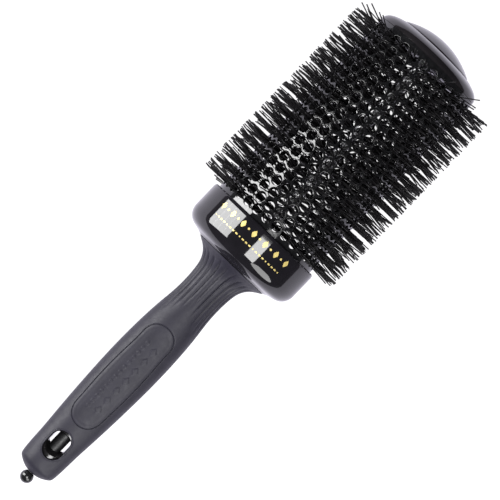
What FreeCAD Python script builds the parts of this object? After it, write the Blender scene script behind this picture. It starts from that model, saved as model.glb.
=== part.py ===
# Round thermal styling brush with a vented barrel, a soft-touch handle and a
# ball-tipped sectioning pick that slides out of the end of the handle.
#
# Frame: the brush lies on a table.  +X runs along the brush axis towards the
# end cap, +Z is up, the bristle tips touch z = 0.  The origin is under the
# middle of the brush, on the table.  All sizes are millimetres.
import FreeCAD, Part
import math
import os

V = FreeCAD.Vector
os.makedirs("parts", exist_ok=True)

# ---------------------------------------------------------------- dimensions
TIP_R = 39.2            # bristle tips, from the brush axis
AXIS_Z = TIP_R          # height of the brush axis above the table

BARREL_R = 27.5         # outside of the barrel
BARREL_WALL = 0.8
BARREL_X0 = 10.2        # lower end, hidden in the collar
BARREL_X1 = 122.5       # upper end, meets the cap
RINGS = 20              # rings of vent holes
HOLES = 30              # holes in each ring
RING_X0 = 24.0          # first ring
RING_PITCH = 4.95
HOLE_R = 2.42

COLLAR_R = 29.5
COLLAR_X1 = 19.9        # upper edge of the collar
CAP_R = 27.45
DOME_R = 19.3           # edge of the dome insert
DOME_X0 = 128.55
APEX_X = 134.0

WIRE_R = 1.2            # one strand of the twisted stem
WIRE_OFFSET = 1.25      # strand centre from the axis
WIRE_PITCH = 14.0
STEM_X0 = -15.0
STEM_X1 = 124.0
STEM_BORE = 2.5

TUFT_ROOT = 2.6         # tufts start inside their root ring
TUFT_R0 = 0.30
TUFT_R1 = 0.90
ROOT_R = 3.4            # outside of the root ring
ROOT_LEN = 4.6

HANDLE_X0 = -128.2      # end of the handle
HANDLE_X1 = -1.3        # handle meets the collar
SKIN = 1.7              # soft skin over the hard core
SKIN_GAP = 0.05
PANEL_X = (-98.95, -40.4)  # thumb panel on the grip
PANEL_HALF = 8.3
GROOVE_W = 0.6
GROOVE_D = 0.45

SLOT_X = (-118.5, -104.15)
SLOT_HALF = 4.95
WINDOW_X = (-112.6, -106.6)  # the slot narrows to a window at mid thickness
WINDOW_HALF = 4.2
WINDOW_R = 1.2          # its corners

TUBE_R = 3.1            # guide tube of the pick
TUBE_BORE = 2.3
TUBE_X0 = -126.0
TUBE_X1 = -39.0
ROD_R = 1.6
ROD_X0 = -129.6
ROD_X1 = -42.0
BALL_R = 3.05
BALL_X = -130.95
PICK_TRAVEL = 70.0
BUSH_LEN = 7.0
STOP_X = (-47.0, -43.4)  # stop bush at the rod's inner end
STOP_NECK = 1.1


# ------------------------------------------------------------------- helpers
def export(name, shape):
    shape = shape.copy()
    shape.translate(V(0, 0, AXIS_Z))
    assert shape.isValid(), name
    for s in shape.Solids:
        assert s.isClosed() and s.Volume > 0, name
    shape.exportStep("parts/%s.step" % name)
    b = shape.BoundBox
    print("%-18s solids %3d  vol %9.1f  x %7.2f..%7.2f  y %6.2f..%6.2f  z %6.2f..%6.2f" % (
        name, len(shape.Solids), shape.Volume, b.XMin, b.XMax, b.YMin, b.YMax, b.ZMin, b.ZMax))


def turned(points, smooth=()):
    """Solid of revolution about X.  points are (x, r); smooth holds (first, last) index pairs joined by a spline."""
    edges = []
    n = len(points)
    i = 0
    spans = dict(smooth)
    while i < n:
        if i in spans:
            j = spans[i]
            c = Part.BSplineCurve()
            c.interpolate([V(p[0], p[1], 0) for p in points[i:j + 1]])
            edges.append(c.toShape())
            i = j
            if i == n - 1:
                edges.append(Part.LineSegment(V(points[i][0], points[i][1], 0), V(points[0][0], points[0][1], 0)).toShape())
                break
            continue
        a, b = points[i], points[(i + 1) % n]
        edges.append(Part.LineSegment(V(a[0], a[1], 0), V(b[0], b[1], 0)).toShape())
        i += 1
    face = Part.Face(Part.Wire(edges))
    solid = face.revolve(V(0, 0, 0), V(1, 0, 0), 360)
    if solid.Volume < 0:
        solid.reverse()
    return Part.makeSolid(solid.Shells[0]) if solid.ShapeType != "Solid" else solid


def tube(x0, x1, r1, r0=0.0):
    s = Part.makeCylinder(r1, x1 - x0, V(x0, 0, 0), V(1, 0, 0))
    if r0:
        s = s.cut(Part.makeCylinder(r0, x1 - x0 + 2, V(x0 - 1, 0, 0), V(1, 0, 0)))
    return s


def section(x, a, b, n):
    """Closed cross-section of the handle: half width a, half thickness b, squareness n."""
    pts = []
    steps = 32
    for i in range(steps):
        t = 2 * math.pi * i / steps
        c, s = math.cos(t), math.sin(t)
        r = (abs(c / a) ** n + abs(s / b) ** n) ** (-1.0 / n)
        pts.append(V(x, r * c, r * s))
    curve = Part.BSplineCurve()
    curve.interpolate(Points=pts, PeriodicFlag=True)
    return Part.Wire(curve.toShape())


# half width, half thickness and squareness of the handle along X
HANDLE = [
    (-128.20, 2.75, 2.75, 2.00),
    (-127.95, 3.75, 3.65, 2.00),
    (-127.50, 5.00, 4.75, 2.02),
    (-126.90, 6.25, 5.80, 2.05),
    (-126.20, 7.42, 6.72, 2.10),
    (-125.50, 8.36, 7.40, 2.14),
    (-124.80, 8.95, 7.80, 2.17),
    (-124.00, 9.24, 8.02, 2.19),
    (-123.00, 9.40, 8.14, 2.20),
    (-112.00, 10.05, 8.70, 2.28),
    (-101.00, 10.76, 9.26, 2.32),
    (-79.00, 11.97, 10.20, 2.35),
    (-61.50, 12.40, 10.52, 2.32),
    (-46.00, 12.05, 10.48, 2.22),
    (-35.00, 11.24, 10.34, 2.12),
    (-27.00, 10.38, 10.18, 2.03),
    (-20.00, 10.14, 10.14, 2.00),
    (-13.00, 10.56, 10.56, 2.00),
    (-8.80, 11.44, 11.44, 2.00),
    (-6.20, 12.84, 12.84, 2.00),
    (-4.20, 14.66, 14.66, 2.00),
    (-2.60, 16.95, 16.95, 2.00),
    (-1.30, 19.10, 19.10, 2.00),
]


def handle_body(offset):
    """The handle's outside, moved in by offset: rounded end, grip and flare, lofted one after the other."""
    rows = []
    for x, a, b, n in HANDLE:
        xx = x
        if x < -123.0 and offset > 0:
            xx = x + offset * min(1.0, max(0.0, (-123.0 - x) / 5.2))
        rows.append((x, section(xx, a - offset, b - offset, n)))
    spans = [(HANDLE_X0, -123.0), (-123.0, -20.0), (-20.0, HANDLE_X1)]
    body = None
    for lo, hi in spans:
        wires = [w for x, w in rows if lo - 1e-6 <= x <= hi + 1e-6]
        s = Part.makeLoft(wires, True, False, False, 3)
        if s.Volume < 0:
            s.reverse()
        body = s if body is None else body.fuse(s)
    return max(body.removeSplitter().Solids, key=lambda q: q.Volume)


def racetrack_face(x0, x1, half, z):
    r = half
    a, b = x0 + r, x1 - r
    assert b > a, "a racetrack is longer than it is wide"
    wire = Part.Wire([
        Part.LineSegment(V(a, -r, z), V(b, -r, z)).toShape(),
        Part.Arc(V(b, -r, z), V(b + r, 0, z), V(b, r, z)).toShape(),
        Part.LineSegment(V(b, r, z), V(a, r, z)).toShape(),
        Part.Arc(V(a, r, z), V(a - r, 0, z), V(a, -r, z)).toShape(),
    ])
    return wire


def window_wire(x0, x1, half, r, z):
    """Rectangle with rounded corners."""
    a, b, h = x0 + r, x1 - r, half - r
    assert b > a and h > 0, "corners too large for the window"
    c = r * math.sqrt(0.5)
    return Part.Wire([
        Part.LineSegment(V(a, -half, z), V(b, -half, z)).toShape(),
        Part.Arc(V(b, -half, z), V(b + c, -h - c, z), V(x1, -h, z)).toShape(),
        Part.LineSegment(V(x1, -h, z), V(x1, h, z)).toShape(),
        Part.Arc(V(x1, h, z), V(b + c, h + c, z), V(b, half, z)).toShape(),
        Part.LineSegment(V(b, half, z), V(a, half, z)).toShape(),
        Part.Arc(V(a, half, z), V(a - c, h + c, z), V(x0, h, z)).toShape(),
        Part.LineSegment(V(x0, h, z), V(x0, -h, z)).toShape(),
        Part.Arc(V(x0, -h, z), V(a - c, -h - c, z), V(a, -half, z)).toShape(),
    ])


def racetrack(x0, x1, half, z0, z1):
    return Part.Face(racetrack_face(x0, x1, half, z0)).extrude(V(0, 0, z1 - z0))


# the thumb panel swells and narrows with the handle: width factor along X
BOW = [(-99.0, 0.965), (-96.0, 0.940), (-93.0, 0.925), (-90.0, 0.928), (-87.0, 0.945), (-84.0, 0.965), (-81.0, 0.983), (-78.0, 0.997), (-75.0, 1.008), (-72.0, 1.013), (-69.0, 1.013), (-66.0, 1.007), (-63.0, 0.995), (-60.0, 0.978), (-57.0, 0.956), (-54.0, 0.937), (-51.0, 0.928), (-48.0, 0.937), (-45.0, 0.965), (-42.0, 1.001), (-40.5, 1.020)]


def bow(x):
    for (xa, ga), (xb, gb) in zip(BOW, BOW[1:]):
        if x <= xb:
            return ga + (gb - ga) * max(0.0, x - xa) / (xb - xa)
    return BOW[-1][1]


def bowed(x0, x1, half, z0, z1):
    """A racetrack whose sides follow the bow, extruded along Z."""
    a, b = x0 + half, x1 - half
    n = 12
    flat = [(a + (b - a) * i / n, half) for i in range(n + 1)]
    flat += [(b + half * math.sin(math.radians(t)), half * math.cos(math.radians(t))) for t in range(15, 180, 15)]
    flat += [(b - (b - a) * i / n, -half) for i in range(n + 1)]
    flat += [(a - half * math.sin(math.radians(t)), -half * math.cos(math.radians(t))) for t in range(15, 180, 15)]
    curve = Part.BSplineCurve()
    curve.interpolate(Points=[V(x, y * bow(x), z0) for x, y in flat], PeriodicFlag=True)
    solid = Part.Face(Part.Wire(curve.toShape())).extrude(V(0, 0, z1 - z0))
    assert solid.isValid() and solid.Volume > 0, "bowed outline"
    return solid


def ring_x(k):
    return RING_X0 + k * RING_PITCH


def ring_phase(k):
    """Holes of neighbouring rings are staggered by half a step."""
    return 180.0 / HOLES if k % 2 == 0 else 0.0


def radial(solid, angle):
    """A solid built along +Z, turned about the brush axis."""
    s = solid.copy()
    s.rotate(V(0, 0, 0), V(1, 0, 0), angle)
    return s


# ------------------------------------------------------------------- handle
outer = handle_body(0.0)
inner = handle_body(SKIN)
core_shape = handle_body(SKIN + SKIN_GAP)

slot_cut = racetrack(SLOT_X[0], SLOT_X[1], SLOT_HALF, -30, 30)
grip = outer.cut(inner)
grip = grip.cut(slot_cut)
grip = grip.cut(tube(HANDLE_X0 - 2, HANDLE_X0 + 6, 2.3))
# racetrack groove around the thumb panel, on both faces
below = handle_body(GROOVE_D)
ring = bowed(PANEL_X[0], PANEL_X[1], PANEL_HALF, -30, 30).cut(
    bowed(PANEL_X[0] + GROOVE_W, PANEL_X[1] - GROOVE_W, PANEL_HALF - GROOVE_W, -31, 31))
grip = grip.cut(ring.cut(below))
grip = max(grip.Solids, key=lambda s: s.Volume)
export("handle_grip", grip)

# hard core under the skin, with the head that carries the barrel
core = core_shape
def window(side):
    loft = Part.makeLoft([window_wire(WINDOW_X[0], WINDOW_X[1], WINDOW_HALF, WINDOW_R, 0.0),
                          window_wire(SLOT_X[0] + 0.3, SLOT_X[1] - 0.3, SLOT_HALF - 0.3, SLOT_HALF - 0.45, side * 9.5)], True, True)
    if loft.Volume < 0:
        loft.reverse()
    assert loft.isValid() and loft.Volume > 600, "window"
    return loft


def cut(body, tool, probe):
    """Takes tool out of body and makes sure that it is gone at the probe point."""
    out = body.cut(tool)
    out = max(out.Solids, key=lambda s: s.Volume)
    assert out.isValid() and out.Volume < body.Volume and not out.isInside(probe, 1e-4, False), "cut failed"
    return out


core = cut(core, window(1), V(-110, 0, 4))
core = cut(core, window(-1), V(-110, 0, -4))
core = cut(core, tube(HANDLE_X0 - 1, TUBE_X1 + 0.5, TUBE_R + 0.05), V(-80, 0, 2))
# neck through the collar, flange and spigot
head = turned([(HANDLE_X1 - 2.0, 0.0), (HANDLE_X1 - 2.0, 9.0), (HANDLE_X1, 11.9), (2.6, 11.9), (2.6, 24.6), (7.4, 24.6),
               (7.4, 12.0), (11.8, 12.0), (11.8, 0.0)])
core = max(core.fuse(head).Solids, key=lambda s: s.Volume)
core = cut(core, tube(STEM_X0 - 0.5, 20.0, STEM_BORE), V(0, 0, 0))
core = max(core.removeSplitter().Solids, key=lambda s: s.Volume)
for p in (V(-110, 0, 0), V(-110, 3.8, 0), V(-80, 0, 0), V(-80, 3, 0), V(-5, 0, 0)):
    assert not core.isInside(p, 1e-4, False)
for p in (V(-116.5, 0, 3.5), V(-80, 6, 0), V(-5, 6, 0), V(5, 20, 0)):
    assert core.isInside(p, 1e-4, False)
export("handle_core", core)

# ------------------------------------------------------------------- collar
collar = turned([
    (-1.25, 12.0),
    (-1.25, 19.15), (-0.60, 20.45), (-0.05, 22.30), (0.42, 24.20), (1.05, 25.85), (2.00, 27.25), (3.40, 28.40), (6.70, COLLAR_R),
    (COLLAR_X1 - 1.5, COLLAR_R), (COLLAR_X1 - 0.5, COLLAR_R - 0.2), (COLLAR_X1, COLLAR_R - 0.75),
    (COLLAR_X1, 27.55), (10.15, 27.55), (10.15, 24.65), (2.55, 24.65), (2.55, 12.0),
], smooth=[(1, 8)])
export("collar_cup", collar)

# ------------------------------------------------------------------- barrel
barrel = tube(BARREL_X0, BARREL_X1, BARREL_R, BARREL_R - BARREL_WALL)
cutters = []
for k in range(RINGS):
    base = Part.makeCylinder(HOLE_R, 8.0, V(ring_x(k), 0, BARREL_R - 4.0), V(0, 0, 1))
    for j in range(HOLES):
        cutters.append(radial(base, ring_phase(k) + j * 360.0 / HOLES))
barrel = barrel.cut(Part.makeCompound(cutters))
barrel = max(barrel.Solids, key=lambda s: s.Volume)
export("barrel", barrel)

# plug in the barrel's lower end, on the core's spigot
hub = turned([
    (7.5, 12.05), (7.5, 24.6), (10.25, 24.6), (10.25, 26.65), (21.0, 26.65), (21.0, 24.6), (14.0, 24.6), (14.0, 7.0),
    (20.5, 6.0), (20.5, STEM_BORE), (11.9, STEM_BORE), (11.9, 12.05),
])
export("barrel_base_hub", hub)

# --------------------------------------------------- twisted stem and tufts
def strand(start_angle):
    length = STEM_X1 - STEM_X0
    helix = Part.makeHelix(WIRE_PITCH, length, WIRE_OFFSET)
    profile = Part.Wire(Part.Circle(V(WIRE_OFFSET, 0, 0), V(0, 1, WIRE_PITCH / (2 * math.pi * WIRE_OFFSET)), WIRE_R).toShape())
    pipe = Part.Wire(helix.Edges).makePipeShell([profile], True, True)
    pipe.rotate(V(0, 0, 0), V(0, 0, 1), start_angle)
    pipe.rotate(V(0, 0, 0), V(0, 1, 0), 90)
    pipe.translate(V(STEM_X0, 0, 0))
    keep = Part.makeBox(length - 2.0, 20, 20, V(STEM_X0 + 1.0, -10, -10))
    solid = pipe.common(keep)
    return max(solid.Solids, key=lambda s: s.Volume)


export("stem_wire_a", strand(0.0))
export("stem_wire_b", strand(180.0))

def prism(r0, r1, z0, z1, sides, turn=0.0):
    """Straight-sided tapered bar along +Z."""
    def corners(r, z):
        return [V(r * math.cos(math.radians(turn + 360.0 * i / sides)), r * math.sin(math.radians(turn + 360.0 * i / sides)), z)
                for i in range(sides)]
    lo, hi = corners(r0, z0), corners(r1, z1)
    faces = [Part.Face(Part.makePolygon(lo + lo[:1])), Part.Face(Part.makePolygon(hi + hi[:1]))]
    for i in range(sides):
        j = (i + 1) % sides
        faces.append(Part.Face(Part.makePolygon([lo[i], lo[j], hi[j], hi[i], lo[i]])))
    solid = Part.makeSolid(Part.makeShell(faces))
    if solid.Volume < 0:
        solid.reverse()
    return solid


tuft = prism(TUFT_R0, TUFT_R1, TUFT_ROOT, TIP_R, 6, 30.0)
root = tube(-ROOT_LEN / 2, ROOT_LEN / 2, ROOT_R, STEM_BORE)
tufts = root.multiFuse([radial(tuft, j * 360.0 / HOLES) for j in range(HOLES)])
tufts = max(tufts.Solids, key=lambda s: s.Volume)
for k in range(RINGS):
    s = radial(tufts, ring_phase(k))
    s.translate(V(ring_x(k), 0, 0))
    export("bristle_ring_%02d" % (k + 1), s)

# ---------------------------------------------------------------------- cap
cap = turned([
    (122.55, CAP_R - 0.1), (122.75, CAP_R), (123.50, 27.42), (124.50, 26.98), (125.40, 26.32), (126.30, 25.22), (127.15, 23.62),
    (127.65, 22.35), (128.08, 21.00), (128.42, 19.75),
    (128.20, 19.35), (126.30, 19.35), (126.30, 0.0), (124.10, 0.0), (124.10, STEM_BORE), (120.40, STEM_BORE), (120.40, 5.0),
    (123.70, 6.5), (123.70, 24.4), (120.50, 24.4), (120.50, 26.65), (122.55, 26.65),
], smooth=[(1, 9)])
export("cap_ring", cap)

rise = APEX_X - DOME_X0
sphere_r = (DOME_R ** 2 + rise ** 2) / (2 * rise)
mid = 9.8
dome_face = Part.Face(Part.Wire([
    Part.LineSegment(V(126.35, 0, 0), V(126.35, DOME_R - 0.2, 0)).toShape(),
    Part.LineSegment(V(126.35, DOME_R - 0.2, 0), V(128.3, DOME_R, 0)).toShape(),
    Part.LineSegment(V(128.3, DOME_R, 0), V(DOME_X0, DOME_R, 0)).toShape(),
    Part.Arc(V(DOME_X0, DOME_R, 0), V(APEX_X - sphere_r + math.sqrt(sphere_r ** 2 - mid ** 2), mid, 0), V(APEX_X, 0, 0)).toShape(),
    Part.LineSegment(V(APEX_X, 0, 0), V(126.35, 0, 0)).toShape(),
]))
dome = dome_face.revolve(V(0, 0, 0), V(1, 0, 0), 360)
dome = Part.makeSolid(dome.Shells[0]) if dome.ShapeType != "Solid" else dome
if dome.Volume < 0:
    dome.reverse()
export("cap_dome", dome)

# --------------------------------------------------------- sectioning pick
export("pick_guide_tube", tube(TUBE_X0, TUBE_X1, TUBE_R, TUBE_BORE))
export("guide_end_bush", tube(TUBE_X0, TUBE_X0 + BUSH_LEN, TUBE_BORE - 0.02, ROD_R + 0.05))

rod = turned([
    (ROD_X0, 0.0), (ROD_X0, 1.35), (ROD_X0 + 1.35, 1.35), (ROD_X0 + 1.7, ROD_R), (STOP_X[0] - 0.1, ROD_R), (STOP_X[0] - 0.1, STOP_NECK),
    (STOP_X[1] + 0.1, STOP_NECK), (STOP_X[1] + 0.1, ROD_R), (ROD_X1 - 0.4, ROD_R), (ROD_X1, ROD_R - 0.4), (ROD_X1, 0.0),
])
export("pick_rod", rod)

ball = Part.makeSphere(BALL_R, V(BALL_X, 0, 0)).cut(tube(ROD_X0 - 0.02, ROD_X0 + 5.0, 1.37))
export("pick_ball", ball)

mid_stop = (STOP_X[0] + STOP_X[1]) / 2
stop = turned([
    (STOP_X[0], STOP_NECK + 0.05), (STOP_X[0], 2.2), (mid_stop - 0.4, 2.2), (mid_stop - 0.4, 1.62), (mid_stop + 0.4, 1.62),
    (mid_stop + 0.4, 2.2), (STOP_X[1], 2.2), (STOP_X[1], STOP_NECK + 0.05),
])
export("pick_stop_bush", stop)
export("pick_o_ring", Part.makeTorus(1.965, 0.315, V(mid_stop, 0, 0), V(1, 0, 0)))
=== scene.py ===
import math
import bpy
import numpy as np
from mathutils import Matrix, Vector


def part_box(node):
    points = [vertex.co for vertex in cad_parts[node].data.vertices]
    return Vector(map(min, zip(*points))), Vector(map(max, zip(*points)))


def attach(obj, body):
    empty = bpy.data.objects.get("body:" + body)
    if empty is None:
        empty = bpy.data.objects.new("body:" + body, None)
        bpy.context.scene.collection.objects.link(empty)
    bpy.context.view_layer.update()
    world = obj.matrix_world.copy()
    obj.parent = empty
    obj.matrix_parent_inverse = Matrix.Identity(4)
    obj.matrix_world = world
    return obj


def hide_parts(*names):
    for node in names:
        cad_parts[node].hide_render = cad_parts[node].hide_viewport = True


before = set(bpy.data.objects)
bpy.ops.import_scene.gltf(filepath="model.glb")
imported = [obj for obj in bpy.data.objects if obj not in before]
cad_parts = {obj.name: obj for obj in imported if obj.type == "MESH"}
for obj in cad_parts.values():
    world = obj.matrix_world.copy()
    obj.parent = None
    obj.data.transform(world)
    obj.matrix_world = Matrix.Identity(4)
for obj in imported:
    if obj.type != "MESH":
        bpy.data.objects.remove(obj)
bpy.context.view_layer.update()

_lo, _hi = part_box("barrel")
AXIS = (_lo.z + _hi.z) / 2          # height of the brush axis, metres
RNG = np.random.default_rng(4117)

# --------------------------------------------------------------------------
# camera first: straight above the lying brush, turned so the cap points up-right
# --------------------------------------------------------------------------
cam_data = bpy.data.cameras.new("camera")
cam = bpy.data.objects.new("camera", cam_data)
bpy.context.scene.collection.objects.link(cam)
cam_data.sensor_width = 36.0
cam_data.lens = 253.6
cam_data.clip_start = 0.05
cam_data.clip_end = 20.0
cam.location = (0.0089, -0.00160, AXIS + 1.55)
cam.rotation_euler = (0.0, 0.0, math.radians(-46.05))
bpy.context.scene.camera = cam


# --------------------------------------------------------------------------
# mesh helpers.  Geometry below is in millimetres from the brush axis.
# --------------------------------------------------------------------------
class Build:
    """Collects vertices and faces, then becomes one object."""

    def __init__(self):
        self.v, self.f, self.m, self.n = [], [], [], 0

    def verts(self, pts):
        pts = np.asarray(pts, float).reshape(-1, 3)
        self.v.append(pts)
        start = self.n
        self.n += len(pts)
        return start

    def face(self, idx, mat=0):
        self.f.append(tuple(int(i) for i in idx))
        self.m.append(mat)

    def loops(self, a, b, closed=True, flip=False, mat=0):
        """Quads between two index loops of the same length."""
        n = len(a)
        for i in range(n if closed else n - 1):
            j = (i + 1) % n
            q = (a[i], a[j], b[j], b[i])
            self.face(q[::-1] if flip else q, mat)

    def fan(self, loop, centre, flip=False, mat=0):
        n = len(loop)
        for i in range(n):
            t = (loop[i], loop[(i + 1) % n], centre)
            self.face(t[::-1] if flip else t, mat)

    def object(self, name, materials, body="root", smooth=True, sharp=None, merge=None):
        pts = np.concatenate(self.v) * 0.001
        pts[:, 2] += AXIS
        me = bpy.data.meshes.new(name)
        me.from_pydata(pts.tolist(), [], self.f)
        for mat in materials if isinstance(materials, (list, tuple)) else [materials]:
            me.materials.append(mat)
        if any(self.m):
            me.polygons.foreach_set("material_index", np.array(self.m, np.int32))
        if merge:
            import bmesh
            bm = bmesh.new()
            bm.from_mesh(me)
            bmesh.ops.remove_doubles(bm, verts=bm.verts, dist=merge * 0.001)
            bm.to_mesh(me)
            bm.free()
        me.polygons.foreach_set("use_smooth", np.full(len(me.polygons), smooth, bool))
        if sharp is not None:
            me.set_sharp_from_angle(angle=math.radians(sharp))
        me.update()
        ob = bpy.data.objects.new(name, me)
        bpy.context.scene.collection.objects.link(ob)
        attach(ob, body)
        return ob


def rounded(points, steps=5):
    """Profile with rounded corners.  points are (x, r) or (x, r, radius of the corner)."""
    out = []
    n = len(points)
    for i, p in enumerate(points):
        rad = p[2] if len(p) > 2 else 0.0
        if rad <= 0 or i in (0, n - 1):
            out.append((p[0], p[1]))
            continue
        a, b, c = (np.array(q[:2], float) for q in (points[i - 1], p, points[i + 1]))
        u, w = a - b, c - b
        lu, lw = np.linalg.norm(u), np.linalg.norm(w)
        u, w = u / lu, w / lw
        half = math.acos(float(np.clip(u @ w, -1, 1))) / 2
        cut = min(rad / math.tan(half), 0.48 * lu, 0.48 * lw)
        rad = cut * math.tan(half)
        mid = (u + w) / np.linalg.norm(u + w)
        centre = b + mid * (rad / math.sin(half))
        s, e = b + u * cut - centre, b + w * cut - centre
        a0, a1 = math.atan2(s[1], s[0]), math.atan2(e[1], e[0])
        d = (a1 - a0 + math.pi) % (2 * math.pi) - math.pi
        for k in range(steps + 1):
            t = a0 + d * k / steps
            out.append((centre[0] + rad * math.cos(t), centre[1] + rad * math.sin(t)))
    return out


def smooth_curve(points, count):
    """Natural cubic spline through (x, r) points, spaced evenly along its length."""
    p = np.array(points, float)
    t = np.concatenate([[0], np.cumsum(np.linalg.norm(np.diff(p, axis=0), axis=1))])
    fine = np.linspace(0, t[-1], 2000)
    q = np.stack([natural(t, p[:, k])(fine) for k in range(2)], 1)
    d = np.concatenate([[0], np.cumsum(np.linalg.norm(np.diff(q, axis=0), axis=1))])
    s = np.linspace(0, d[-1], count)
    return [(float(np.interp(v, d, q[:, 0])), float(np.interp(v, d, q[:, 1]))) for v in s]


def natural(t, y):
    t, y = np.asarray(t, float), np.asarray(y, float)
    n = len(t)
    h = np.diff(t)
    a = np.zeros((n, n))
    r = np.zeros(n)
    a[0, 0] = a[-1, -1] = 1
    for i in range(1, n - 1):
        a[i, i - 1], a[i, i], a[i, i + 1] = h[i - 1], 2 * (h[i - 1] + h[i]), h[i]
        r[i] = 3 * ((y[i + 1] - y[i]) / h[i] - (y[i] - y[i - 1]) / h[i - 1])
    c = np.linalg.solve(a, r)
    b = np.diff(y) / h - h * (2 * c[:-1] + c[1:]) / 3
    d = np.diff(c) / (3 * h)

    def f(x):
        x = np.asarray(x, float)
        i = np.clip(np.searchsorted(t, x) - 1, 0, n - 2)
        u = x - t[i]
        return y[i] + u * (b[i] + u * (c[i] + u * d[i]))
    return f


def lathe(name, profile, mat, seg=192, body="root", sharp=None, closed=False, wobble=None):
    """Turns a profile of (x, r) about the brush axis.  r = 0 at an end closes it there."""
    b = Build()
    th = np.linspace(0, 2 * math.pi, seg, endpoint=False)
    rows = []
    for x, r in profile:
        if r < 1e-6:
            rows.append([b.verts([(x, 0, 0)])])
        else:
            rr = r if wobble is None else r + wobble(x, th)
            s = b.verts(np.stack([np.full(seg, x), rr * np.cos(th), rr * np.sin(th)], 1))
            rows.append(list(range(s, s + seg)))
    pairs = list(zip(rows[:-1], rows[1:]))
    if closed:
        pairs.append((rows[-1], rows[0]))
    for p, q in pairs:
        if len(p) == 1:
            b.fan(q, p[0])
        elif len(q) == 1:
            b.fan(p, q[0], flip=True)
        else:
            b.loops(p, q, flip=True)
    return b.object(name, mat, body, sharp=sharp)


# --------------------------------------------------------------------------
# materials
# --------------------------------------------------------------------------
class Mat:
    def __init__(self, name, color, rough, ior=1.5, metallic=0.0):
        self.m = bpy.data.materials.new(name)
        self.m.use_nodes = True
        nt = self.nt = self.m.node_tree
        self.bsdf = nt.nodes["Principled BSDF"] if "Principled BSDF" in nt.nodes else nt.nodes.new("ShaderNodeBsdfPrincipled")
        self.bsdf.inputs["Base Color"].default_value = (*color, 1)
        self.bsdf.inputs["Roughness"].default_value = rough
        self.bsdf.inputs["IOR"].default_value = ior
        self.bsdf.inputs["Metallic"].default_value = metallic
        self.coord = nt.nodes.new("ShaderNodeTexCoord")
        self.normal = None

    def node(self, kind, **kw):
        n = self.nt.nodes.new(kind)
        for k, v in kw.items():
            setattr(n, k, v)
        return n

    def link(self, a, b):
        self.nt.links.new(a, b)

    def mapped(self, scale=(1, 1, 1)):
        m = self.node("ShaderNodeMapping")
        m.inputs["Scale"].default_value = scale
        self.link(self.coord.outputs["Object"], m.inputs["Vector"])
        return m.outputs["Vector"]

    def noise(self, scale, detail=3.0, rough=0.5, stretch=(1, 1, 1)):
        n = self.node("ShaderNodeTexNoise")
        n.inputs["Scale"].default_value = scale
        n.inputs["Detail"].default_value = detail
        n.inputs["Roughness"].default_value = rough
        self.link(self.mapped(stretch), n.inputs["Vector"])
        return n.outputs["Fac"]

    def voronoi(self, scale, feature="F1"):
        n = self.node("ShaderNodeTexVoronoi", feature=feature)
        n.inputs["Scale"].default_value = scale
        self.link(self.mapped(), n.inputs["Vector"])
        return n.outputs["Distance"]

    def ramp(self, fac, stops):
        r = self.node("ShaderNodeValToRGB")
        e = r.color_ramp.elements
        while len(e) < len(stops):
            e.new(0.5)
        for k, (pos, col) in enumerate(stops):
            e[k].position = pos
            e[k].color = (*col, 1) if hasattr(col, "__len__") else (col, col, col, 1)
        self.link(fac, r.inputs["Fac"])
        return r.outputs["Color"]

    def span(self, fac, lo, hi, a=0.3, b=0.7):
        r = self.node("ShaderNodeMapRange")
        r.inputs["From Min"].default_value = a
        r.inputs["From Max"].default_value = b
        r.inputs["To Min"].default_value = lo
        r.inputs["To Max"].default_value = hi
        self.link(fac, r.inputs["Value"])
        return r.outputs["Result"]

    def color(self, fac, stops):
        self.link(self.ramp(fac, stops), self.bsdf.inputs["Base Color"])
        return self

    def rough(self, fac, lo, hi, a=0.3, b=0.7):
        self.link(self.span(fac, lo, hi, a, b), self.bsdf.inputs["Roughness"])
        return self

    def bump(self, fac, strength, distance):
        n = self.node("ShaderNodeBump")
        n.inputs["Strength"].default_value = strength
        n.inputs["Distance"].default_value = distance
        self.link(fac, n.inputs["Height"])
        if self.normal is not None:
            self.link(self.normal, n.inputs["Normal"])
        self.normal = n.outputs["Normal"]
        self.link(self.normal, self.bsdf.inputs["Normal"])
        return self


def mat_grip():
    m = Mat("soft_touch_grip", (0.018, 0.0168, 0.0252), 0.5, 1.34)
    m.color(m.noise(160, 4, 0.6), [(0.3, (0.0155, 0.0146, 0.0220)), (0.7, (0.0202, 0.0190, 0.0284))])
    m.rough(m.noise(420, 3, 0.6), 0.45, 0.56)
    m.bump(m.noise(2600, 3, 0.6), 0.38, 0.00007)
    m.bump(m.noise(380, 3, 0.5), 0.12, 0.00012)
    return m.m


def mat_gloss(name, color=(0.006, 0.0055, 0.007), base=0.035):
    m = Mat(name, color, base, 1.5)
    m.color(m.noise(90, 3, 0.5), [(0.3, color), (0.7, tuple(c * 1.5 for c in color))])
    m.rough(m.noise(240, 5, 0.65), base, base + 0.035)
    m.bump(m.noise(95, 2, 0.4), 0.04, 0.0004)
    m.bump(m.noise(1500, 4, 0.7, (1, 0.12, 1)), 0.02, 0.00004)
    return m.m


def mat_coat():
    m = Mat("ceramic_coat", (0.005, 0.005, 0.0055), 0.1, 1.55)
    m.color(m.noise(600, 3, 0.5), [(0.35, (0.004, 0.004, 0.0045)), (0.7, (0.009, 0.009, 0.010))])
    m.rough(m.noise(700, 4, 0.6), 0.035, 0.10)
    m.bump(m.noise(900, 3, 0.5), 0.08, 0.00005)
    m.bump(m.noise(170, 2, 0.5), 0.10, 0.0003)
    return m.m


def mat_bristle():
    m = Mat("nylon_bristle", (0.004, 0.0037, 0.004), 0.5, 1.33)
    m.color(m.noise(1200, 2, 0.5), [(0.3, (0.0040, 0.0036, 0.0042)), (0.7, (0.0100, 0.0090, 0.0105))])
    m.rough(m.noise(900, 3, 0.6), 0.44, 0.60)
    m.bump(m.noise(2600, 2, 0.5), 0.15, 0.00004)
    return m.m


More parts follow.
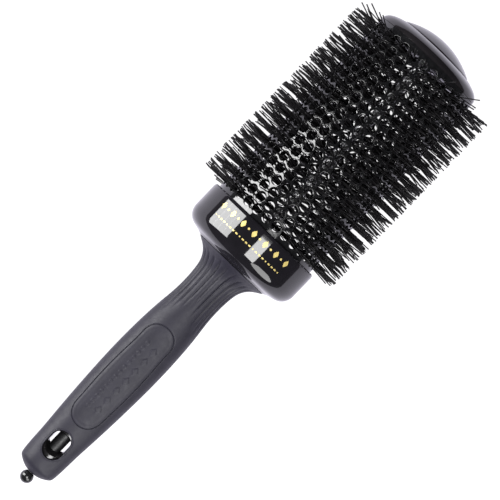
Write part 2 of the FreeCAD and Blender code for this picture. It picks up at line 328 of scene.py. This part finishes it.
def mat_core():
    m = Mat("core_moulding", (0.008, 0.0075, 0.008), 0.12, 1.5)
    m.color(m.noise(300, 3, 0.5), [(0.3, (0.006, 0.006, 0.0065)), (0.7, (0.011, 0.010, 0.011))])
    m.rough(m.noise(500, 4, 0.6), 0.09, 0.20)
    m.bump(m.noise(600, 3, 0.5), 0.10, 0.00008)
    return m.m


def mat_steel(name="polished_steel", rough=0.16, color=(0.58, 0.58, 0.60)):
    m = Mat(name, color, rough, 1.5, 1.0)
    m.color(m.noise(500, 3, 0.5), [(0.3, tuple(c * 0.9 for c in color)), (0.7, color)])
    m.rough(m.noise(2500, 3, 0.6, (0.04, 1, 1)), rough, rough + 0.14)
    m.bump(m.noise(4000, 2, 0.5, (0.03, 1, 1)), 0.08, 0.00002)
    return m.m


def mat_gold():
    m = Mat("gold_ink", (0.62, 0.50, 0.17), 0.35, 1.5, 0.25)
    m.color(m.noise(700, 4, 0.6), [(0.3, (0.56, 0.44, 0.13)), (0.7, (0.68, 0.55, 0.20))])
    m.rough(m.noise(1100, 4, 0.6), 0.24, 0.42)
    m.bump(m.noise(2500, 3, 0.6), 0.15, 0.00002)
    return m.m


def mat_nylon(name, color, rough=0.45):
    m = Mat(name, color, rough, 1.5)
    m.color(m.noise(800, 3, 0.5), [(0.3, tuple(c * 0.8 for c in color)), (0.7, tuple(c * 1.2 for c in color))])
    m.rough(m.noise(900, 3, 0.6), rough - 0.08, rough + 0.12)
    m.bump(m.noise(3000, 3, 0.5), 0.2, 0.00003)
    return m.m


GRIP, GLOSS, CAPM = mat_grip(), mat_gloss("gloss_black_collar"), mat_gloss("gloss_black_cap", (0.009, 0.008, 0.009), 0.05)
COAT, BRISTLE, CORE = mat_coat(), mat_bristle(), mat_core()
STEEL, WIRE = mat_steel(), mat_steel("drawn_wire", 0.28, (0.42, 0.42, 0.43))
GOLD, BUSH, RUBBER = mat_gold(), mat_nylon("bush_nylon_black", (0.03, 0.03, 0.032)), mat_nylon("o_ring_rubber_black", (0.012, 0.012, 0.012), 0.6)
BALLM = mat_gloss("satin_black_ball", (0.006, 0.006, 0.0065), 0.17)
TUBE = mat_nylon("tube_plastic", (0.008, 0.008, 0.009), 0.44)

CARRIED = {"handle_core": CORE, "barrel_base_hub": CORE, "stem_wire_a": WIRE, "stem_wire_b": WIRE,
           "guide_end_bush": BUSH, "pick_stop_bush": BUSH, "pick_o_ring": RUBBER}
for node, mat in CARRIED.items():
    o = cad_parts[node]
    o.data.materials.clear()
    o.data.materials.append(mat)

# --------------------------------------------------------------------------
# handle grip
# --------------------------------------------------------------------------
# half width, half thickness and squareness along X
HANDLE = np.array([
    (-128.20, 2.75, 2.75, 2.00), (-127.95, 3.75, 3.65, 2.00), (-127.50, 5.00, 4.75, 2.02), (-126.90, 6.25, 5.80, 2.05),
    (-126.20, 7.42, 6.72, 2.10), (-125.50, 8.36, 7.40, 2.14), (-124.80, 8.95, 7.80, 2.17), (-124.00, 9.24, 8.02, 2.19),
    (-123.00, 9.40, 8.14, 2.20), (-112.00, 10.05, 8.70, 2.28), (-101.00, 10.76, 9.26, 2.32), (-79.00, 11.97, 10.20, 2.35),
    (-61.50, 12.40, 10.52, 2.32), (-46.00, 12.05, 10.48, 2.22), (-35.00, 11.24, 10.34, 2.12), (-27.00, 10.38, 10.18, 2.03),
    (-20.00, 10.14, 10.14, 2.00), (-13.00, 10.56, 10.56, 2.00), (-8.80, 11.44, 11.44, 2.00), (-6.20, 12.84, 12.84, 2.00),
    (-4.20, 14.66, 14.66, 2.00), (-2.60, 16.95, 16.95, 2.00), (-1.30, 19.10, 19.10, 2.00)])
_t = np.concatenate([[0], np.cumsum(np.hypot(np.diff(HANDLE[:, 0]), np.diff(HANDLE[:, 1])))])
_end = _t[8]
_fine = np.linspace(0, _t[-1], 30000)
_curves = [natural(_t, HANDLE[:, k])(_fine) for k in range(4)]


def handle_at(x):
    """Half width, half thickness, squareness at x, for the length of the handle past its rounded end."""
    keep = _fine >= _end
    xs = np.maximum.accumulate(_curves[0][keep])
    return [np.interp(x, xs, _curves[k][keep]) for k in (1, 2, 3)]


FLUTES = 22
FLUTE_PHASE = math.radians(1.5)


def step(a, b, x):
    u = np.clip((np.asarray(x, float) - a) / (b - a), 0, 1)
    return u * u * (3 - 2 * u)


def flute(x, th):
    """Radial offset of the neck's flutes; th is measured from +Y towards +Z."""
    k = FLUTES / 2.0
    s = np.abs(np.sin(k * (th - math.pi / 2 - FLUTE_PHASE)))
    valley = (1 - s) ** 1.7
    # the flutes run out sooner on the two broad faces than along the sides
    face = np.abs(np.sin(th)) ** 6
    start = -38.5 + 9.0 * face
    u = np.clip((x - start) / 11.0, 0, 1)
    depth = (0.55 + 0.30 * step(-16.0, -6.0, x)) * u * u * (3 - 2 * u) * (1 - step(-5.0, -2.4, x))
    return -depth * valley


def superellipse(a, b, n, th):
    return (np.abs(np.cos(th) / a) ** n + np.abs(np.sin(th) / b) ** n) ** (-1.0 / n)


def top_z(x, y):
    a, b, n = handle_at(x)
    u = np.clip(np.abs(y) / a, 0, 0.999)
    return b * (1 - u ** n) ** (1 / n)


SLOT = (-118.5, -104.15, 4.95)
PANEL = (-98.65, -40.7, 8.0)
# the thumb panel's outline swells and narrows with the handle
_bow = natural([-99.0, -93.0, -85.0, -73.0, -60.0, -49.0, -45.0, -40.5], [0.965, 0.925, 0.958, 1.012, 0.978, 0.932, 0.965, 1.02])


def bow(x):
    return _bow(np.clip(x, -99.0, -40.5))


def track(pts, xa, xb, h):
    """For points outside a racetrack: the nearest point of its spine and the unit direction away from it."""
    sx = np.clip(pts[:, 0], xa + h, xb - h)
    d = np.stack([pts[:, 0] - sx, pts[:, 1]], 1)
    return sx, d / np.linalg.norm(d, axis=1)[:, None]


def build_grip():
    NC = 360
    th = np.linspace(0, 2 * math.pi, NC, endpoint=False)
    b = Build()
    rows, row_x = [], []
    # mouth of the pick's bore, then the rounded end
    for x, r in [(-126.3, 2.30), (-127.7, 2.30), (-127.95, 2.34), (-128.12, 2.44), (-128.19, 2.60)]:
        s = b.verts(np.stack([np.full(NC, x), r * np.cos(th), r * np.sin(th)], 1))
        rows.append(s)
        row_x.append(x)
    for t in np.linspace(0, _end, 26)[:-1]:
        x, a, bb, n = [float(np.interp(t, _fine, c)) for c in _curves]
        r = superellipse(a, bb, n, th)
        s = b.verts(np.stack([np.full(NC, x), r * np.cos(th), r * np.sin(th)], 1))
        rows.append(s)
        row_x.append(x)
    cuts = [-123.0, -122.6, -101.5, -101.0, -38.4, -1.3]
    xs = [cuts[0]]
    for lo, hi, d in zip(cuts[:-1], cuts[1:], (0.4, 0.38, 0.4, 0.42, 0.30)):
        k = max(1, int(round((hi - lo) / d)))
        xs += list(np.linspace(lo, hi, k + 1)[1:])
    first = len(rows)
    for x in xs:
        a, bb, n = handle_at(x)
        r = superellipse(a, bb, n, th) + flute(x, th)
        s = b.verts(np.stack([np.full(NC, x), r * np.cos(th), r * np.sin(th)], 1))
        rows.append(s)
        row_x.append(x)
    row_x = np.array(row_x)

    def row_of(x):
        return int(np.argmin(np.abs(row_x - x)))
    holes = []
    for name, x0, x1, spread in (("slot", -122.6, -101.5, 46), ("panel", -101.0, -38.4, 62)):
        for side in (1, -1):
            mid = 90 if side > 0 else 270
            holes.append((name, side, row_of(x0), row_of(x1), mid - spread, mid + spread))
    blocked = np.zeros((len(rows), NC), bool)
    for _, _, i0, i1, j0, j1 in holes:
        blocked[i0:i1, j0:j1] = True
    for i in range(len(rows) - 1):
        for j in range(NC):
            if not blocked[i, j]:
                k = (j + 1) % NC
                b.face((rows[i] + k, rows[i] + j, rows[i + 1] + j, rows[i + 1] + k)[::-1])

    allv = np.concatenate(b.v)

    def put(xy, depth, side):
        z = top_z(xy[:, 0], xy[:, 1]) - depth
        s = b.verts(np.stack([xy[:, 0], xy[:, 1], side * z], 1))
        return list(range(s, s + len(xy)))
    for name, side, i0, i1, j0, j1 in holes:
        edge = [rows[i0] + j for j in range(j0, j1)] + [rows[i] + j1 for i in range(i0, i1)]
        edge += [rows[i1] + j for j in range(j1, j0, -1)] + [rows[i] + j0 for i in range(i1, i0, -1)]
        p = allv[edge][:, :2]
        xa, xb, h = SLOT if name == "slot" else PANEL
        sx, d = track(p, xa, xb, h)
        spine = np.stack([sx, np.zeros(len(sx))], 1)
        flip = side < 0
        start = 0.95 if name == "slot" else 0.34

        def bent(q):
            if name == "panel":
                q = q * np.stack([np.ones(len(q)), bow(q[:, 0])], 1)
            return q
        ring0 = bent(spine + d * (h + start))
        prev = list(edge)
        K = 12 if name == "slot" else 8
        for k in range(1, K + 1):
            w = k / K
            w = w * (2 - w) if name == "slot" else w
            cur = put(p + (ring0 - p) * w, 0.0, side)
            b.loops(prev, cur, flip=not flip)
            prev = cur
        if name == "slot":
            prof = [(0.88, 0.01), (0.82, 0.05), (0.76, 0.11), (0.70, 0.13), (0.64, 0.10), (0.58, 0.04), (0.50, 0.02), (0.36, 0.03), (0.24, 0.07),
                    (0.13, 0.15), (0.05, 0.28), (0.01, 0.45), (0.0, 0.7), (0.0, 1.2), (-0.02, 1.70)]
            for off, dep in prof:
                base = spine + d * (h + off)
                cur = put(base, dep, side)
                b.loops(prev, cur, flip=not flip)
                prev = cur
            # turned under, so the lip reads as a skin and not as a sheet
            cur = put(spine + d * (h + 0.8), 1.70, side)
            b.loops(prev, cur, flip=not flip)
            continue
        prof = [(0.26, 0.03), (0.20, 0.10), (0.15, 0.24), (0.10, 0.34), (0.0, 0.38), (-0.10, 0.34), (-0.15, 0.24), (-0.20, 0.10), (-0.27, 0.035),
                (-0.36, 0.02)]
        for off, dep in prof:
            cur = put(bent(spine + d * (h + off)), dep, side)
            b.loops(prev, cur, flip=not flip)
            prev = cur

        def dish(q):
            return 0.02 + 0.16 * step(0.9, 2.3, q) + 0.24 * step(1.6, 7.0, q)

        def relief(xy):
            """A row of plain lozenges and a row of small pips, raised a little."""
            u = (xy[:, 0] + 90.5) % 5.8 - 2.9
            big = np.abs(u) / 2.05 + np.abs(xy[:, 1] + 2.35) / 1.55
            u = (xy[:, 0] + 90.5) % 2.9 - 1.45
            small = np.hypot(u / 0.85, (xy[:, 1] - 2.35) / 0.85)
            k = np.where((xy[:, 0] > -90.5) & (xy[:, 0] < -49.9), 1.0, 0.0)
            return k * 0.17 * (2 - step(0.80, 1.18, big) - step(0.75, 1.25, small))
        for q in np.concatenate([np.linspace(0.36, 3.0, 9)[1:], np.linspace(3.2, h - 0.2, 25)]):
            ring_xy = bent(spine + d * (h - q))
            cur = put(ring_xy, float(dish(q)) - relief(ring_xy), side)
            b.loops(prev, cur, flip=not flip)
            prev = cur
        dep = float(dish(h))
        ends = {}
        for k in range(len(prev)):
            key = round(float(sx[k]), 5)
            if key not in ends:
                ends[key] = put(np.array([[sx[k], 0.0]]), dep, side)[0]
        n = len(prev)
        for k in range(n):
            j = (k + 1) % n
            a_, b_ = ends[round(float(sx[k]), 5)], ends[round(float(sx[j]), 5)]
            q = (prev[k], prev[j], b_, a_) if a_ != b_ else (prev[k], prev[j], a_)
            b.face(q if flip else q[::-1])
    # closing face towards the collar, and the skin's inside, so the shell has thickness
    last = rows[-1]
    prev = [last + j for j in range(NC)]
    for x, r in [(-1.28, 18.6), (-1.26, 12.2)]:
        s = b.verts(np.stack([np.full(NC, x), r * np.cos(th), r * np.sin(th)], 1))
        cur = list(range(s, s + NC))
        b.loops(prev, cur, flip=True)
        prev = cur
    return b.object("grip_skin", GRIP, sharp=50)


grip = build_grip()
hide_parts("handle_grip")

# --------------------------------------------------------------------------
# collar
# --------------------------------------------------------------------------
shoulder = smooth_curve([(-1.25, 19.15), (-0.60, 20.45), (-0.05, 22.30), (0.42, 24.20), (1.05, 25.85), (2.00, 27.25), (3.40, 28.40), (4.9, 29.12), (6.70, 29.50)], 40)
collar_profile = [(-0.95, 12.2), (-1.20, 14.0), (-1.22, 18.7), (-1.12, 19.1)] + shoulder[1:] + rounded(
    [(6.70, 29.50), (18.4, 29.50, 1.5), (19.4, 29.30, 0.5), (19.9, 28.75, 0.2), (19.9, 27.60, 0.12), (17.0, 27.56)], 6)[1:]
collar = lathe("collar_shell", collar_profile, GLOSS, 256, sharp=50)
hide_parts("collar_cup")


# gold ornament printed on the collar: a row of lozenges over a dashed line
def foil(name, shapes, radius, mat):
    b = Build()
    for cx, ang, outline in shapes:
        n = len(outline)
        top, low = [], []
        for dx, dv in outline:
            a = ang + dv / radius
            for store, r in ((top, radius + 0.035), (low, radius - 0.05)):
                store.append((cx + dx, -r * math.sin(a), r * math.cos(a)))
        s = b.verts(top)
        q = b.verts(low)
        cen = b.verts([(cx, -(radius + 0.038) * math.sin(ang), (radius + 0.038) * math.cos(ang))])
        t, l = list(range(s, s + n)), list(range(q, q + n))
        b.fan(t, cen)
        b.loops(t, l, flip=True)
    return b.object(name, mat, sharp=40)


def lozenge(w, h, pow_=1.25, n=28):
    out = []
    for k in range(n):
        t = 2 * math.pi * k / n
        c, s = math.cos(t), math.sin(t)
        out.append((w * math.copysign(abs(c) ** (2 / pow_), c), h * math.copysign(abs(s) ** (2 / pow_), s)))
    return out


def pill(w, h, n=20):
    """Half height w along X, half length h round the collar."""
    out = []
    r = min(w, h)
    for k in range(n):
        t = 2 * math.pi * (k + 0.5) / n
        c, s = math.cos(t), math.sin(t)
        out.append((r * c + math.copysign(w - r, c), r * s + math.copysign(h - r, s)))
    return out


marks = []
A0, A1 = math.radians(-42), math.radians(35)
for k in range(13):
    a = A0 + (A1 - A0) * k / 12
    if k % 2 == 0:
        marks.append((15.2, a, lozenge(1.75, 1.15)))
    else:
        marks.append((15.2, a, lozenge(0.55, 0.55, 2.0)))
for k in range(21):
    a = A0 + (A1 - A0) * k / 20
    marks.append((10.0, a, pill(0.36, 0.62 if k % 4 else 0.36)))
ornament = foil("collar_ornament", marks, 29.5, GOLD)

# --------------------------------------------------------------------------
# barrel with its vent holes
# --------------------------------------------------------------------------
R_OUT = 27.5
RINGS, HOLES, RING_X0, PITCH = 20, 30, 24.0, 4.95


def ring_phase(k):
    return math.radians(6.0) if k % 2 == 0 else 0.0


def build_barrel():
    b = Build()
    w = R_OUT * math.radians(6.0)
    x1 = (PITCH ** 2 - w ** 2) / (2 * PITCH)
    x2 = (PITCH ** 2 + w ** 2) / (2 * PITCH)
    corners = [(x2, 0), (x1, w), (-x1, w), (-x2, 0), (-x1, -w), (x1, -w)]
    hexa = []
    for i in range(6):
        p, q = np.array(corners[i]), np.array(corners[(i + 1) % 6])
        for k in range(5):
            hexa.append(p + (q - p) * k / 5)
    hexa = np.array(hexa)
    u = hexa / np.linalg.norm(hexa, axis=1)[:, None]
    prof = [(2.82, 0.0), (2.68, 0.0), (2.55, 0.0), (2.48, -0.004), (2.445, -0.03), (2.42, -0.08), (2.415, -0.16), (2.41, -0.30), (2.41, -0.55), (2.41, -0.85)]
    n = 30

    def place(xy, h, x0, a0):
        a = a0 + xy[:, 1] / R_OUT
        r = R_OUT + h
        return np.stack([x0 + xy[:, 0], -r * np.sin(a), r * np.cos(a)], 1)
    for k in range(RINGS):
        x0 = RING_X0 + k * PITCH
        for j in range(HOLES):
            a0 = ring_phase(k) + j * 2 * math.pi / HOLES
            jit = 1.0 + 0.02 * RNG.standard_normal()
            s = b.verts(place(hexa, 0.0, x0, a0))
            prev = list(range(s, s + n))
            for d, h in prof:
                s = b.verts(place(u * d * (jit if d < 2.7 else 1.0), h, x0, a0))
                cur = list(range(s, s + n))
                b.loops(prev, cur, flip=True)
                prev = cur
            s = b.verts(place(hexa, -0.85, x0, a0))
            cur = list(range(s, s + n))
            b.loops(prev, cur, flip=True)
    # plain bands at both ends
    def band(ring, sign, xs, level):
        x0 = RING_X0 + ring * PITCH
        prev_pts = []
        for j in range(HOLES):
            a0 = ring_phase(ring) + j * 2 * math.pi / HOLES
            half = [(-x1, -w), (-x2, 0), (-x1, w)] if sign < 0 else [(x1, -w), (x2, 0), (x1, w)]
            for i in range(2):
                p, q = np.array(half[i]), np.array(half[i + 1])
                for m in range(5):
                    prev_pts.append((p + (q - p) * m / 5, a0))
        pts = np.concatenate([place(np.array([p]), level, x0, a) for p, a in prev_pts])
        ang = np.array([a + p[1] / R_OUT for p, a in prev_pts])
        s = b.verts(pts)
        prev = list(range(s, s + len(pts)))
        r = R_OUT + level
        for x in xs:
            s = b.verts(np.stack([np.full(len(ang), x), -r * np.sin(ang), r * np.cos(ang)], 1))
            cur = list(range(s, s + len(pts)))
            b.loops(prev, cur, flip=(sign > 0) == (level >= 0))
            prev = cur
        return prev
    o1 = band(0, -1, (20.4, 18.0), 0.0)
    o2 = band(RINGS - 1, 1, (121.7, 122.5), 0.0)
    i1 = band(0, -1, (20.4, 18.0), -0.85)
    i2 = band(RINGS - 1, 1, (121.7, 122.5), -0.85)
    b.loops(o1, i1, flip=True)
    b.loops(o2, i2)
    return b.object("barrel_vented", COAT, sharp=60, merge=0.002)


barrel = build_barrel()
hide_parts("barrel")

# --------------------------------------------------------------------------
# bristles: a tuft of nylon filaments through every vent hole
# --------------------------------------------------------------------------
TIP = 39.2
SIDES = 6
RING_A = np.linspace(0, 2 * math.pi, SIDES, endpoint=False)


def filament(b, pts, rad):
    """Round filament along pts, with a slightly domed tip."""
    pts = np.asarray(pts)
    d = np.gradient(pts, axis=0)
    d /= np.linalg.norm(d, axis=1)[:, None]
    side = np.cross(d[-1], (1.0, 0.03, 0.0))
    side /= np.linalg.norm(side)
    rows = []
    up = np.cross(d[-1], side)
    turn = RNG.uniform(0, 2 * math.pi)
    circle = np.cos(RING_A + turn)[:, None] * side + np.sin(RING_A + turn)[:, None] * up
    tip = pts[-1]
    path = [(p, rad) for p in pts[:-1]] + [(tip - d[-1] * rad * 0.25, rad), (tip, rad * 0.80)]
    for p, r in path:
        s = b.verts(p + circle * r)
        rows.append(list(range(s, s + SIDES)))
    for p, q in zip(rows[:-1], rows[1:]):
        b.loops(p, q)
    b.face(rows[-1])
    b.face(rows[0][::-1])


def build_bristles(k):
    b = Build()
    x0 = RING_X0 + k * PITCH
    for j in range(HOLES):
        a0 = ring_phase(k) + j * 2 * math.pi / HOLES
        out = np.array([0.0, -math.sin(a0), math.cos(a0)])
        tan = np.array([0.0, -math.cos(a0), -math.sin(a0)])
        ax = np.array([1.0, 0.0, 0.0])
        lean = RNG.normal(0, 0.055, 2)
        split = RNG.random() < 0.35
        sdir = RNG.uniform(0, 2 * math.pi)
        count = int(RNG.choice([3, 4, 5], p=[0.35, 0.45, 0.20]))
        q0 = RNG.uniform(0, 2 * math.pi)
        for i in range(count):
            q = q0 + 2 * math.pi * i / count + RNG.normal(0, 0.35)
            rr = 1.78 * RNG.random() ** 0.42
            hole = np.array([rr * math.cos(q), rr * math.sin(q)])
            fan = lean + RNG.normal(0, 0.042, 2)
            if split:
                sign = 1 if i % 2 else -1
                fan = fan + sign * 0.06 * np.array([math.cos(sdir), math.sin(sdir)])
            if k == RINGS - 1 and RNG.random() < 0.10:
                fan[0] += RNG.uniform(0.15, 0.45)
            if k == 0 and RNG.random() < 0.05:
                fan[0] -= RNG.uniform(0.10, 0.22)
            length = TIP - abs(RNG.normal(0, 0.36)) - 0.04 - (RNG.random() < 0.10) * RNG.uniform(0.6, 2.6)
            rad = RNG.uniform(0.255, 0.300)
            curl = RNG.normal(0, 0.12, 2)
            pts = []
            for r in (5.0, 15.0, 26.5, 30.5, 34.8, length):
                if r <= 26.5:
                    off = hole * (r / 26.5) ** 1.2
                else:
                    f = (r - 26.5) / (TIP - 26.5)
                    off = hole + fan * (r - 26.5) + curl * f * f
                pts.append(ax * (x0 + off[0]) + tan * off[1] + out * r)
            # keep the tips inside the bristle circle
            tip = pts[-1]
            rad_now = math.hypot(tip[1], tip[2])
            lim = TIP - 0.14
            if rad_now > lim:
                tip = tip.copy()
                tip[1] *= lim / rad_now
                tip[2] *= lim / rad_now
                pts[-1] = tip
            filament(b, pts, rad)
    ob = b.object("bristles_%02d" % (k + 1), BRISTLE)
    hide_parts("bristle_ring_%02d" % (k + 1))
    return ob


for k in range(RINGS):
    build_bristles(k)

# --------------------------------------------------------------------------
# cap
# --------------------------------------------------------------------------
cap_curve = smooth_curve([(122.70, 27.42), (123.50, 27.40), (124.50, 26.98), (125.40, 26.32), (126.30, 25.22), (127.15, 23.62), (127.65, 22.35),
                          (128.08, 21.00), (128.36, 20.05)], 44)
cap_profile = [(120.5, 5.2), (120.5, 26.6), (122.45, 26.62), (122.52, 27.20)] + cap_curve[:-1] + [(128.20, 20.62), (128.12, 20.50), (127.8, 20.44), (126.6, 20.42)]
cap = lathe("cap_band", cap_profile, CAPM, 256, sharp=40)
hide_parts("cap_ring")
rise, dr = 134.0 - 128.55, 19.3
sr = (dr * dr + rise * rise) / (2 * rise)
dome_profile = [(126.6, 18.80), (128.3, 18.86), (128.60, 18.84), (128.72, 18.70)]
for r in np.linspace(18.50, 0, 44):
    dome_profile.append((134.0 - sr + math.sqrt(sr * sr - r * r), float(r)))
dome = lathe("cap_dome_insert", dome_profile, CAPM, 256, sharp=50)
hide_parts("cap_dome")

# --------------------------------------------------------------------------
# sectioning pick
# --------------------------------------------------------------------------
tube = lathe("guide_tube", rounded([(-125.9, 2.3), (-126.0, 2.6, 0.1), (-126.0, 3.1, 0.2), (-39.0, 3.1, 0.2), (-39.0, 2.3, 0.1), (-39.2, 2.28)], 4), TUBE, 96,
             sharp=45)
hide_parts("pick_guide_tube")
ball_r, ball_x = 3.03, -130.95
ball_profile = [(ball_x - ball_r * math.cos(t), ball_r * math.sin(t)) for t in np.linspace(0, math.pi - 0.62, 40)]
ball_profile = [(ball_profile[0][0], 0.0)] + ball_profile[1:] + [(-128.50, 1.66), (-128.42, 1.60), (-128.42, 1.37)]
ball = lathe("pick_ball_tip", ball_profile, BALLM, 96, "pick", sharp=50)
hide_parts("pick_ball")
rod_profile = rounded([(-129.5, 0.0), (-129.5, 1.3, 0.1), (-128.25, 1.35), (-127.9, 1.6, 0.2), (-47.1, 1.6, 0.1), (-47.1, 1.1, 0.1), (-43.3, 1.1, 0.1),
                       (-43.3, 1.6, 0.1), (-42.0, 1.6, 0.4), (-42.0, 0.0)], 4)
rod = lathe("pick_rod_steel", rod_profile, STEEL, 64, "pick", sharp=45)
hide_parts("pick_rod")

# --------------------------------------------------------------------------
# floor, light, world
# --------------------------------------------------------------------------
me = bpy.data.meshes.new("floor")
me.from_pydata([(-6, -6, 0), (6, -6, 0), (6, 6, 0), (-6, 6, 0)], [], [(0, 1, 2, 3)])
floor = bpy.data.objects.new("floor", me)
bpy.context.scene.collection.objects.link(floor)
fm = bpy.data.materials.new("floor_white")
fm.use_nodes = True
fb = fm.node_tree.nodes["Principled BSDF"]
fb.inputs["Base Color"].default_value = (0.80, 0.78, 0.86, 1)
fb.inputs["Roughness"].default_value = 0.9
_nt = fm.node_tree
_out = _nt.nodes["Material Output"]
_lp = _nt.nodes.new("ShaderNodeLightPath")
_em = _nt.nodes.new("ShaderNodeEmission")
_em.inputs["Color"].default_value = (1, 1, 1, 1)
_em.inputs["Strength"].default_value = 1.15
_add = _nt.nodes.new("ShaderNodeMixShader")
_add.inputs["Fac"].default_value = 0.80
_mix = _nt.nodes.new("ShaderNodeMixShader")
# the white sheet ends about a third of a metre away; the room beyond it is dark
_tc = _nt.nodes.new("ShaderNodeTexCoord")
_mp = _nt.nodes.new("ShaderNodeMapping")
_mp.inputs["Scale"].default_value = (0.62, 1.0, 0.0)
_len = _nt.nodes.new("ShaderNodeVectorMath")
_len.operation = "LENGTH"
_fall = _nt.nodes.new("ShaderNodeMapRange")
_fall.inputs["From Min"].default_value = 0.345
_fall.inputs["From Max"].default_value = 0.375
_fall.inputs["To Min"].default_value = 1.0
_fall.inputs["To Max"].default_value = 0.06
_nt.links.new(_tc.outputs["Object"], _mp.inputs["Vector"])
_nt.links.new(_mp.outputs["Vector"], _len.inputs[0])
_nt.links.new(_len.outputs["Value"], _fall.inputs["Value"])
_glow = _nt.nodes.new("ShaderNodeEmission")
_glow.inputs["Color"].default_value = (0.93, 0.88, 1.08, 1)
_glow.inputs["Strength"].default_value = 0.95
_sheet = _nt.nodes.new("ShaderNodeMixShader")
_sheet.inputs["Fac"].default_value = 0.42
_black = _nt.nodes.new("ShaderNodeEmission")
_black.inputs["Strength"].default_value = 0.03
_room = _nt.nodes.new("ShaderNodeMixShader")
_nt.links.new(fb.outputs["BSDF"], _sheet.inputs[1])
_nt.links.new(_glow.outputs["Emission"], _sheet.inputs[2])
_nt.links.new(_fall.outputs["Result"], _room.inputs["Fac"])
_nt.links.new(_black.outputs["Emission"], _room.inputs[1])
_nt.links.new(_sheet.outputs["Shader"], _room.inputs[2])
_nt.links.new(fb.outputs["BSDF"], _add.inputs[1])
_nt.links.new(_em.outputs["Emission"], _add.inputs[2])
_nt.links.new(_lp.outputs["Is Camera Ray"], _mix.inputs["Fac"])
_nt.links.new(_room.outputs["Shader"], _mix.inputs[1])
_nt.links.new(_add.outputs["Shader"], _mix.inputs[2])
_nt.links.new(_mix.outputs["Shader"], _out.inputs["Surface"])
me.materials.append(fm)


def area(name, radiance, size_x, size_y, target, direction, distance):
    """Softbox of a given radiance, facing target from a direction."""
    d = np.array(direction, float)
    d /= np.linalg.norm(d)
    data = bpy.data.lights.new(name, "AREA")
    data.shape = "RECTANGLE"
    data.size, data.size_y = size_x, size_y
    data.energy = math.pi * radiance * size_x * size_y
    ob = bpy.data.objects.new(name, data)
    bpy.context.scene.collection.objects.link(ob)
    pos = np.array(target, float) + d * distance
    ob.location = pos
    from mathutils import Matrix, Vector
    z = Vector(d)
    x = Vector((1, 0, 0))
    y = z.cross(x).normalized()
    x = y.cross(z).normalized()
    ob.matrix_world = Matrix((
        (x.x, y.x, z.x, pos[0]), (x.y, y.y, z.y, pos[1]), (x.z, y.z, z.z, pos[2]), (0, 0, 0, 1)))
    ob.visible_camera = False
    return ob


def toward(zenith, side):
    z = math.radians(zenith)
    return (0, side * math.sin(z), math.cos(z))


# key softbox from the side, built of strips so that it follows a circle round the brush
KEY = [(38.5, 50.0, 14.5), (50.0, 62.0, 15.0), (62.0, 75.0, 15.0), (75.0, 87.5, 14.0)]
for k, (z0, z1, radiance) in enumerate(KEY):
    mid_z = (z0 + z1) / 2
    tall = 2 * 1.2 * math.tan(math.radians((z1 - z0) / 2)) * 1.02
    area("key_%d" % (k + 1), radiance, 0.56, tall, (-0.170, 0, AXIS), toward(mid_z, 1), 1.2)
# narrow softbox almost overhead, fading out over the collar
OVER = [(-0.475, 0.008, 15.5), (0.008, 0.0105, 11.0), (0.0105, 0.0165, 6.5), (0.0165, 0.040, 1.1)]
for k, (xa, xb, radiance) in enumerate(OVER):
    area("second_%d" % (k + 1), radiance, xb - xa, 0.40, ((xa + xb) / 2, 0, AXIS), toward(15.0, -1), 1.1)
# a tall oval softbox on the handle side
third = area("third", 7.0, 0.62, 1.00, (0.0, 0, AXIS), (-0.50, -0.69, 0.52), 1.1)
third.data.shape = "ELLIPSE"
third.data.energy *= math.pi / 4

world = bpy.data.worlds.new("world")
bpy.context.scene.world = world
world.use_nodes = True
nt = world.node_tree
bg = nt.nodes["Background"]
lp = nt.nodes.new("ShaderNodeLightPath")
mix = nt.nodes.new("ShaderNodeMix")
mix.data_type = "RGBA"
mix.inputs["A"].default_value = (0.055, 0.055, 0.06, 1)
mix.inputs["B"].default_value = (0.93, 0.93, 0.94, 1)
nt.links.new(lp.outputs["Is Camera Ray"], mix.inputs["Factor"])
nt.links.new(mix.outputs["Result"], bg.inputs["Color"])
bg.inputs["Strength"].default_value = 1.0
bpy.context.scene.view_settings.view_transform = "Standard"
bpy.context.scene.view_settings.look = "None"
